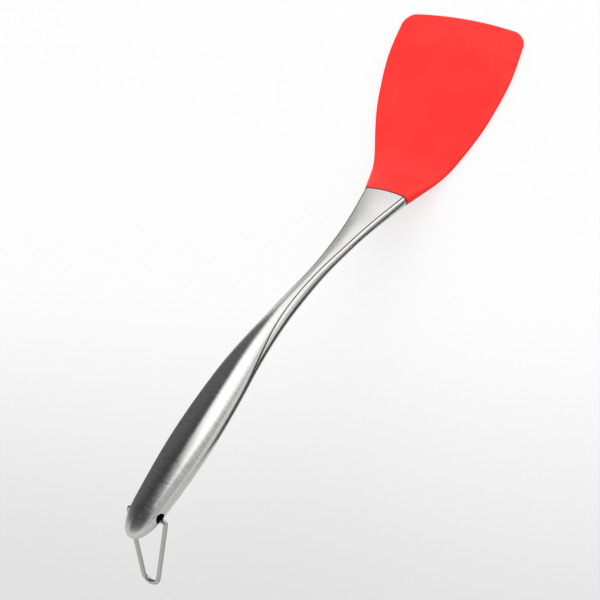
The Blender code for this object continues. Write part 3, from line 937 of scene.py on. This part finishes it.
def lengthwise_of(tree):
    """The lengthwise UV map, X running along the piece and Y round it."""
    node = tree.nodes.new("ShaderNodeUVMap")
    node.uv_map = "lengthwise"
    return axes_of(tree, node.outputs["UV"])


def blend_colours(tree, share, first, second):
    """Mix of two colours by a share. Returns the colour."""
    node = tree.nodes.new("ShaderNodeMix")
    node.data_type = "RGBA"
    tree.links.new(share, node.inputs["Factor"])
    for socket, value in ((node.inputs[6], first), (node.inputs[7], second)):
        feed(tree, socket, (*value, 1.0) if isinstance(value, tuple) else value)
    return node.outputs[2]


def colour_by(tree, shader, share, first, second):
    """Base colour that is mixed from two colours by a share."""
    tree.links.new(blend_colours(tree, share, first, second), shader.inputs["Base Color"])


def roughen(tree, shader, patches, clean, touched):
    """Roughness that differs where a surface has been touched."""
    rough = remap(tree, patches, 0.0, 1.0, clean, touched, smooth=False)
    tree.links.new(rough, shader.inputs["Roughness"])


def patches_of(tree, marks, place_at, size):
    """Where a surface has been touched, in patches of a size."""
    return use_group(tree, marks, place_at, Patch_Size=size)["Patches"]


def add_relief(tree, shader, height, depth, strength):
    """Bump from a height that is as deep as given, in metres."""
    bump = tree.nodes.new("ShaderNodeBump")
    bump.inputs["Strength"].default_value = strength
    bump.inputs["Distance"].default_value = depth
    tree.links.new(height, bump.inputs["Height"])
    tree.links.new(bump.outputs["Normal"], shader.inputs["Normal"])


def silicone_finish(grain, marks):
    """Matt red moulded silicone, a little deeper in patches, wiped smoother where it is touched, with
    painted shade round its sides and in the gap at the joint.
    """
    material, tree, shader, place_at = new_finish("red_silicone")
    mould = use_group(tree, grain, place_at, Grain_Size=0.00028)
    body = blend_colours(tree, mould["Mottle"], SILICONE_RED, SILICONE_DEEP_RED)
    # The edge attribute paints shade round the sides, over the front rows and in the gap at the joint
    colour_by(tree, shader, attribute_of(tree, "edge"), body, SILICONE_PAINTED_SHADE)
    roughen(tree, shader, patches_of(tree, marks, place_at, size=0.016), clean=0.50, touched=0.42)
    shader.inputs["IOR"].default_value = 1.41
    shader.inputs["Specular IOR Level"].default_value = 0.38
    add_relief(tree, shader, mould["Height"], depth=0.00002, strength=0.35)
    return material


def brushed_finish(lines, marks):
    """Stainless steel, brushed round the handle, with painted shade in the groove of the welded seam."""
    material, tree, shader, place_at = new_finish("brushed_stainless", metallic=1.0)
    back = lengthwise_of(tree)["X"]
    brushed = use_group(tree, lines, place_at, Distance=back, Line_Width=0.0003, Line_Length=0.0032)
    on_grip = remap(tree, back, *GRIP_BRUSH, STEM_BRUSH_SHARE, 1.0)
    before_end = remap(tree, back, *END_BRUSH, 1.0, END_BRUSH_SHARE)
    brushing = product(tree, on_grip, before_end)
    contrast = product(tree, maths(tree, "SUBTRACT", brushed["Streaks"], 0.5), brushing)
    share = maths(tree, "ADD", contrast, 0.5)
    steel = blend_colours(tree, share, STEEL_DARK_LINE, STEEL_LIGHT_LINE)
    # The seam attribute paints shade into the groove of the welded seam
    colour_by(tree, shader, attribute_of(tree, "seam"), steel, SEAM_PAINTED_SHADE)
    base = remap(tree, brushed["Streaks"], 0.0, 1.0, *STEEL_ROUGHNESS, smooth=False)
    rougher = product(tree, patches_of(tree, marks, place_at, size=0.018), STEEL_TOUCHED_ROUGHER)
    tree.links.new(maths(tree, "ADD", base, rougher), shader.inputs["Roughness"])
    shader.inputs["Anisotropic"].default_value = 0.72
    tangent = tree.nodes.new("ShaderNodeTangent")
    tangent.direction_type = "UV_MAP"
    tangent.uv_map = "lengthwise"
    tree.links.new(tangent.outputs["Tangent"], shader.inputs["Tangent"])
    height = product(tree, brushed["Height"], brushing)
    add_relief(tree, shader, height, depth=0.000014, strength=0.5)
    return material


def hole_shade_finish(marks):
    """Walls of the holes punched through the steel, painted dark as shade inside the holes."""
    material, tree, shader, place_at = new_finish("punched_hole_shade", metallic=1.0)
    patches = patches_of(tree, marks, place_at, size=0.002)
    colour_by(tree, shader, patches, HOLE_SHADE_DARK, HOLE_SHADE_LIGHT)
    roughen(tree, shader, patches, clean=0.40, touched=0.55)
    return material


def wire_finish(lines, marks):
    """Drawn stainless wire, with fine lines along it."""
    material, tree, shader, place_at = new_finish("drawn_wire", metallic=1.0)
    around = lengthwise_of(tree)["Y"]
    drawn = use_group(tree, lines, place_at, Distance=around, Line_Width=0.00015, Line_Length=0.012)
    colour_by(tree, shader, drawn["Streaks"], WIRE_DARK_LINE, WIRE_LIGHT_LINE)
    roughen(tree, shader, patches_of(tree, marks, place_at, size=0.006), clean=0.10, touched=0.17)
    add_relief(tree, shader, drawn["Height"], depth=0.000006, strength=0.5)
    return material


def core_finish(lines, marks):
    """Rolled steel of the hidden core plate."""
    material, tree, shader, place_at = new_finish("rolled_core_steel", metallic=1.0)
    across = axes_of(tree, place_at)["X"]
    rolled = use_group(tree, lines, place_at, Distance=across, Line_Width=0.0004, Line_Length=0.02)
    colour_by(tree, shader, rolled["Streaks"], CORE_DARK_LINE, CORE_LIGHT_LINE)
    roughen(tree, shader, patches_of(tree, marks, place_at, size=0.010), clean=0.34, touched=0.46)
    add_relief(tree, shader, rolled["Height"], depth=0.00001, strength=0.5)
    return material


def nylon_finish(grain, marks):
    """Moulded black nylon of the plug in the mouth."""
    material, tree, shader, place_at = new_finish("black_nylon")
    mould = use_group(tree, grain, place_at, Grain_Size=0.00025)
    colour_by(tree, shader, mould["Mottle"], NYLON_DARK, NYLON_LIGHT)
    roughen(tree, shader, patches_of(tree, marks, place_at, size=0.008), clean=0.58, touched=0.48)
    add_relief(tree, shader, mould["Height"], depth=0.00003, strength=0.4)
    return material


def dress(piece, *materials):
    """Give a piece its materials, in the order of its slots."""
    piece.data.materials.clear()
    for material in materials:
        piece.data.materials.append(material)


def mix_out(tree, output, share, first, second):
    """Mix two shaders by a share and send them to the output."""
    mix = tree.nodes.new("ShaderNodeMixShader")
    tree.links.new(share, mix.inputs[0])
    tree.links.new(first.outputs[0], mix.inputs[1])
    tree.links.new(second.outputs[0], mix.inputs[2])
    tree.links.new(mix.outputs[0], tree.nodes[output].inputs["Surface"])


def seen_directly(tree):
    """1 for what the camera, gloss and glass see, and 0 for the light that falls on things."""
    path = tree.nodes.new("ShaderNodeLightPath")
    seen = maths(tree, "MAXIMUM", path.outputs["Is Camera Ray"], path.outputs["Is Glossy Ray"])
    return maths(tree, "MAXIMUM", seen, path.outputs["Is Transmission Ray"])


def make_floor():
    """Pale floor with painted shade towards the grip, that keeps a light shadow."""
    nothing_selected()
    bpy.ops.mesh.primitive_circle_add(vertices=FLOOR_CORNERS, radius=FLOOR_RADIUS, fill_type="NGON")
    floor = bpy.context.object
    floor.name = "studio_floor"
    material, tree, shader, place_at = new_finish("studio_floor")
    shader.inputs["Roughness"].default_value = 1.0
    shader.inputs["Specular IOR Level"].default_value = 0.0
    axes = axes_of(tree, place_at)
    reach = vector_maths(tree, "LENGTH", place_at).outputs["Value"]
    near = remap(tree, reach, *FLOOR_FADE, 1.0, 0.0)
    # Painted shade on the floor and its glow beyond a slanting line, towards the grip
    slant = maths(tree, "SUBTRACT", product(tree, axes["X"], FLOOR_SLANT), axes["Y"])
    painted_shade = remap(tree, slant, *FLOOR_SHADE_EDGE)
    share = product(tree, painted_shade, near)
    colour_by(tree, shader, share, FLOOR_PALE, FLOOR_PAINTED_SHADE)
    glow = tree.nodes.new("ShaderNodeEmission")
    tree.links.new(blend_colours(tree, share, GLOW_PALE, GLOW_PAINTED_SHADE), glow.inputs["Color"])
    glow_share = remap(tree, near, 0.0, 1.0, 1.0, FLOOR_GLOW_SHARE, smooth=False)
    glow_seen = product(tree, seen_directly(tree), glow_share)
    mix_out(tree, "Material Output", glow_seen, shader, glow)
    floor.data.materials.append(material)


def make_world():
    """Even studio light, brighter behind, and a pale background for the camera."""
    world = bpy.data.worlds.new("studio_world")
    bpy.context.scene.world = world
    world.use_nodes = True
    tree = world.node_tree
    sky = tree.nodes["Background"]
    place_node = tree.nodes.new("ShaderNodeTexCoord")
    depth = axes_of(tree, place_node.outputs["Generated"])["Y"]
    behind = remap(tree, depth, *SKY_TURNS, SKY_LEVEL, BACK_SKY_LEVEL)
    tree.links.new(behind, sky.inputs["Strength"])
    back = tree.nodes.new("ShaderNodeBackground")
    back.inputs["Strength"].default_value = BACKGROUND_LEVEL
    path = tree.nodes.new("ShaderNodeLightPath")
    mix_out(tree, "World Output", path.outputs["Is Camera Ray"], sky, back)
    for node in (sky, back):
        node.inputs["Color"].default_value = WHITE


def direction(azimuth, elevation):
    """Unit vector at degrees round from +Y towards +X, and degrees up."""
    turn = math.radians(azimuth)
    rise = math.radians(elevation)
    level = math.cos(rise)
    return Vector((math.sin(turn) * level, math.cos(turn) * level, math.sin(rise)))


def soft_lamp(name, azimuth, elevation, size, level, target):
    """Area lamp aimed at a target, kept out of reflections, its face as bright as its level."""
    lamp = bpy.data.lights.new(name, "AREA")
    lamp.shape = "RECTANGLE"
    lamp.size, lamp.size_y = size
    lamp.energy = level * math.pi * size[0] * size[1]
    piece = bpy.data.objects.new(name, lamp)
    bpy.context.scene.collection.objects.link(piece)
    heading = direction(azimuth, elevation)
    piece.location = Vector(target) + heading * STUDIO_DISTANCE
    piece.rotation_euler = heading.to_track_quat("Z", "Y").to_euler()
    piece.visible_glossy = False
    piece.visible_camera = False


def card(name, corners):
    """Glowing card that only reflections see. Returns its tree, glow and coordinates."""
    nothing_selected()
    bpy.ops.mesh.primitive_plane_add(size=1.0)
    piece = bpy.context.object
    piece.name = name
    for vertex, corner in zip(piece.data.vertices, corners):
        vertex.co = corner
    material, tree, shader, place_at = new_finish(name)
    tree.nodes.remove(shader)
    glow = tree.nodes.new("ShaderNodeEmission")
    glow.inputs["Color"].default_value = WHITE
    tree.links.new(glow.outputs[0], tree.nodes["Material Output"].inputs["Surface"])
    piece.data.materials.append(material)
    piece.visible_camera = False
    piece.visible_diffuse = False
    piece.visible_shadow = False
    piece.visible_transmission = False
    return tree, glow, place_at


def show_share(tree, glow, share):
    """Leave a card clear but for a share of it."""
    clear = tree.nodes.new("ShaderNodeBsdfTransparent")
    mix_out(tree, "Material Output", share, clear, glow)


def low_flag(name, level, places):
    """Dark card just over the floor."""
    _, glow, _ = card(name, [(x, y, LOW_HEIGHT) for x, y in places])
    glow.inputs["Strength"].default_value = level


def tall_flag(name, left, right, top, axis, side_fade):
    """Dark card standing on a line, darker at its top, that clears to one side along an axis."""
    tree, glow, place_at = card(name, (left, right, (*left[:2], top), (*right[:2], top)))
    axes = axes_of(tree, place_at)
    strength = remap(tree, axes["Z"], *TALL_FLAG_RISES, *TALL_FLAG_LEVELS)
    tree.links.new(strength, glow.inputs["Strength"])
    show_share(tree, glow, remap(tree, axes[axis], *side_fade))


def make_window(name):
    """Large window in the steel, with soft edges and a dim strip down its left side."""
    heading = direction(*WINDOW_HEADING)
    middle = Vector(WINDOW_TARGET) + heading * STUDIO_DISTANCE
    right = heading.cross(Vector((0.0, 0.0, 1.0))).normalized() * WINDOW_SIZE[0] / 2.0
    up = right.cross(heading).normalized() * WINDOW_SIZE[1] / 2.0
    corners = (middle - right - up, middle + right - up, middle - right + up, middle + right + up)
    tree, glow, place_at = card(name, corners)
    away = vector_maths(tree, "SUBTRACT", place_at)
    away.inputs[1].default_value = WINDOW_TARGET
    axes = axes_of(tree, vector_maths(tree, "NORMALIZE", away.outputs[0]).outputs[0])
    turn = maths(tree, "DEGREES", maths(tree, "ARCTAN2", axes["X"], axes["Y"]))
    open_left = remap(tree, turn, *WINDOW_LEFT_EDGE)
    open_right = remap(tree, turn, *WINDOW_RIGHT_EDGE, 1.0, 0.0)
    open_top = remap(tree, axes["Z"], *WINDOW_TOP_EDGE, 1.0, 0.0)
    left_level = remap(tree, axes["Z"], *WINDOW_PANE_RISES, *WINDOW_LEFT_LEVELS)
    right_level = remap(tree, axes["Z"], *WINDOW_PANE_RISES, *WINDOW_RIGHT_LEVELS)
    pane = remap(tree, turn, *WINDOW_PANE_TURNS, left_level, right_level)
    strength = remap(tree, turn, *WINDOW_STRIP_EDGE, WINDOW_STRIP_LEVEL, pane)
    tree.links.new(strength, glow.inputs["Strength"])
    show_share(tree, glow, product(tree, open_left, open_right, open_top))


def make_roof_flag(name):
    """Dark card over the grip, clear beyond a soft curved edge."""
    tree, glow, place_at = card(name, [(x, y, ROOF_HEIGHT) for x, y in ROOF_CORNERS])
    glow.inputs["Strength"].default_value = ROOF_LEVEL
    axes = axes_of(tree, place_at)
    back = maths(tree, "SUBTRACT", ROOF_LINE, axes["Y"])
    slope = maths(tree, "MULTIPLY_ADD", back, ROOF_EDGE_CURVE, ROOF_EDGE_SLOPE)
    curve = maths(tree, "MULTIPLY_ADD", back, slope, ROOF_EDGE_START)
    far_back = maths(tree, "MAXIMUM", maths(tree, "SUBTRACT", back, ROOF_STEEPER_FROM), 0.0)
    steeper = product(tree, far_back, ROOF_STEEPER_SLOPE)
    limit = maths(tree, "MULTIPLY_ADD", back, ROOF_LIMIT_SLOPE, ROOF_LIMIT_START)
    edge = maths(tree, "MINIMUM", maths(tree, "ADD", curve, steeper), limit)
    past = maths(tree, "SUBTRACT", axes["X"], edge)
    front = remap(tree, axes["Y"], *ROOF_FRONT_FADE, 1.0, 0.0)
    side = remap(tree, past, *ROOF_SOFTNESS, 1.0, 0.0)
    rear = remap(tree, axes["Y"], *ROOF_REAR_FADE)
    show_share(tree, glow, product(tree, front, side, rear))


# Pieces and their finishes
lines_group = make_abrasive_lines()
marks_group = make_handling_marks()
grain_group = make_moulded_grain()

head = make_head()
dress(head, silicone_finish(grain_group, marks_group))
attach(head, "turner")
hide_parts("silicone_head")

handle = make_handle()
dress(handle, brushed_finish(lines_group, marks_group), hole_shade_finish(marks_group))
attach(handle, "turner")
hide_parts("handle_upper_shell", "handle_lower_shell")

loop = make_wire_loop()
dress(loop, wire_finish(lines_group, marks_group))
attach(loop, "loop")
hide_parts("hanging_loop")

dress(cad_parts["core_plate"], core_finish(lines_group, marks_group))
dress(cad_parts["tang_plug"], nylon_finish(grain_group, marks_group))

# Studio round the turner
make_floor()
make_world()
for lamp in SOFT_LAMPS:
    soft_lamp(*lamp)
make_window("tall_window")
low_flag("low_flag", *LOW_FLAG)
low_flag("mouth_flag", *MOUTH_FLAG)
tall_flag("side_flag", *SIDE_FLAG)
make_roof_flag("roof_flag")
low_flag("under_flag", *UNDER_FLAG)
tall_flag("end_flag", *END_FLAG)

# Camera at the photograph's place
camera = bpy.data.cameras.new("camera")
camera.sensor_width = 36.0
camera.lens = 87.10
camera.clip_start = 0.01
camera_piece = bpy.data.objects.new("camera", camera)
bpy.context.scene.collection.objects.link(camera_piece)
camera_piece.location = (0.33265, -0.23487, 0.65611)
camera_piece.rotation_euler = Euler([math.radians(angle) for angle in (18.4916, 24.2318, 23.1386)])
bpy.context.scene.camera = camera_piece
bpy.context.scene.view_settings.view_transform = "Standard"

bpy.context.view_layer.update()
